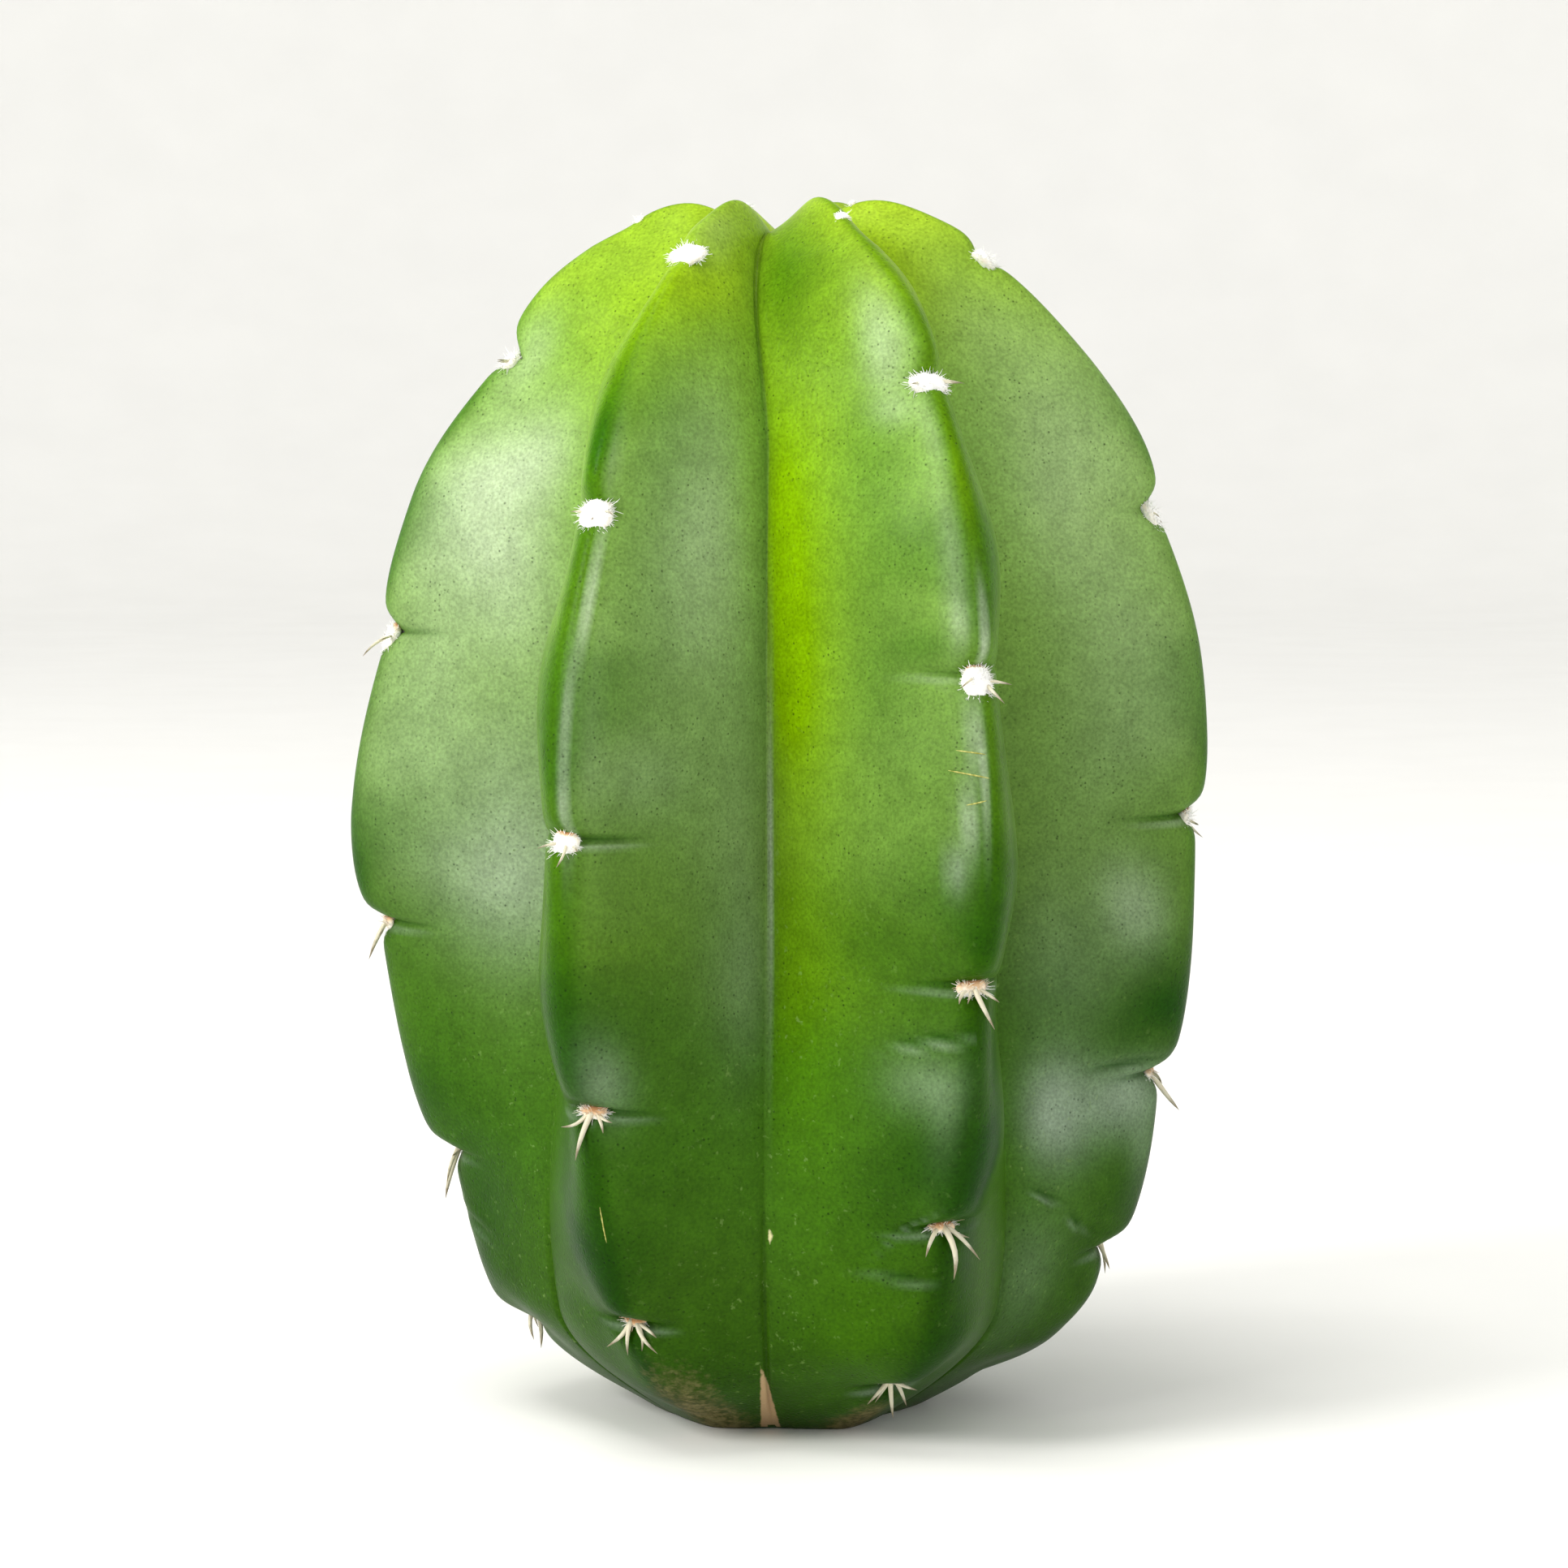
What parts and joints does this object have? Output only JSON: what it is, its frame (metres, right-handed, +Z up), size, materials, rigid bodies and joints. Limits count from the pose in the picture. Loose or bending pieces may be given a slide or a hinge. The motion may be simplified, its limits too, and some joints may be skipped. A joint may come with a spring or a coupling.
{
  "type": "hedgehog cactus stem",
  "caption": "Short egg-shaped green cactus stem with deep notched ribs, white woolly areoles and short pale spines, cut level at the base so that it stands upright.",
  "frame": {"origin": "middle of the level cut face at the base of the stem, on the surface it stands on", "axes": "+Z up along the stem, +X to the right and -Y towards the viewer as the stem stands in the picture"},
  "size_m": [0.0544, 0.0481, 0.0773],
  "materials": {
    "skin": "waxy green plant skin, satin",
    "wool": "white areole wool, fine matt hairs",
    "spine": "ivory spines, horn-like, satin"
  },
  "bodies": {
    "root": {"stem": "skin"}
  },
  "joints": []
}
